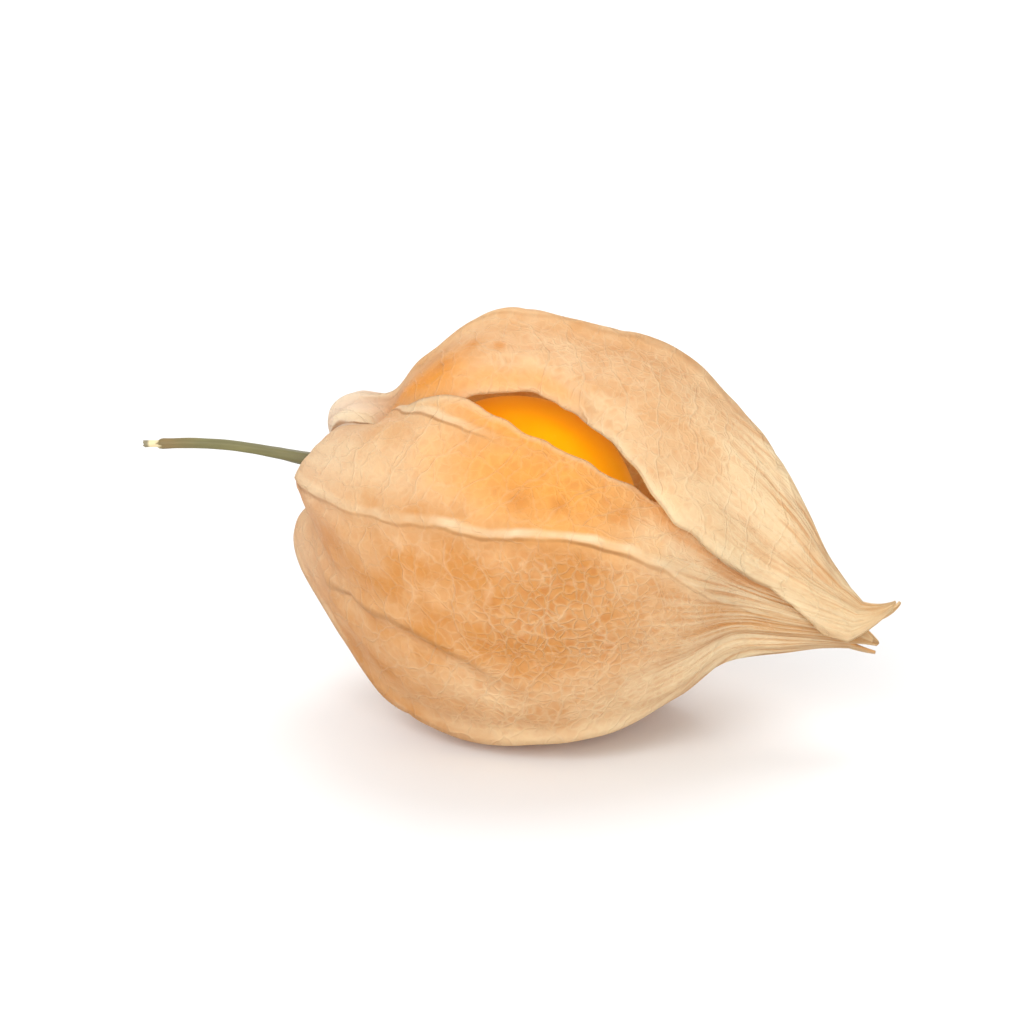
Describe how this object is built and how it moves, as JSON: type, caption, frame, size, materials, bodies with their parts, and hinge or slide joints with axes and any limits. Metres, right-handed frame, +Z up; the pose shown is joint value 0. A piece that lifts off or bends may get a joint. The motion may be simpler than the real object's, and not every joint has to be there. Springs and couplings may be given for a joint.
{
  "type": "physalis berry in its husk",
  "caption": "Round berry inside a papery, ribbed husk that lies on its side, open along a slit, with a pleated beak of loose tips and a thin stem.",
  "frame": {"origin": "centre of the husk's flat resting spot, on the surface it lies on", "axes": "+Z up, the stem points to -X, the beak to +X, and -Y is the side with the slit"},
  "size_m": [0.059, 0.0318, 0.0322],
  "materials": {
    "husk": "dry papery calyx, slightly translucent",
    "berry": "smooth glossy skin",
    "stem": "dry fibrous"
  },
  "bodies": {
    "root": {"husk": "husk", "berry": "berry", "stem": "stem"}
  },
  "joints": []
}
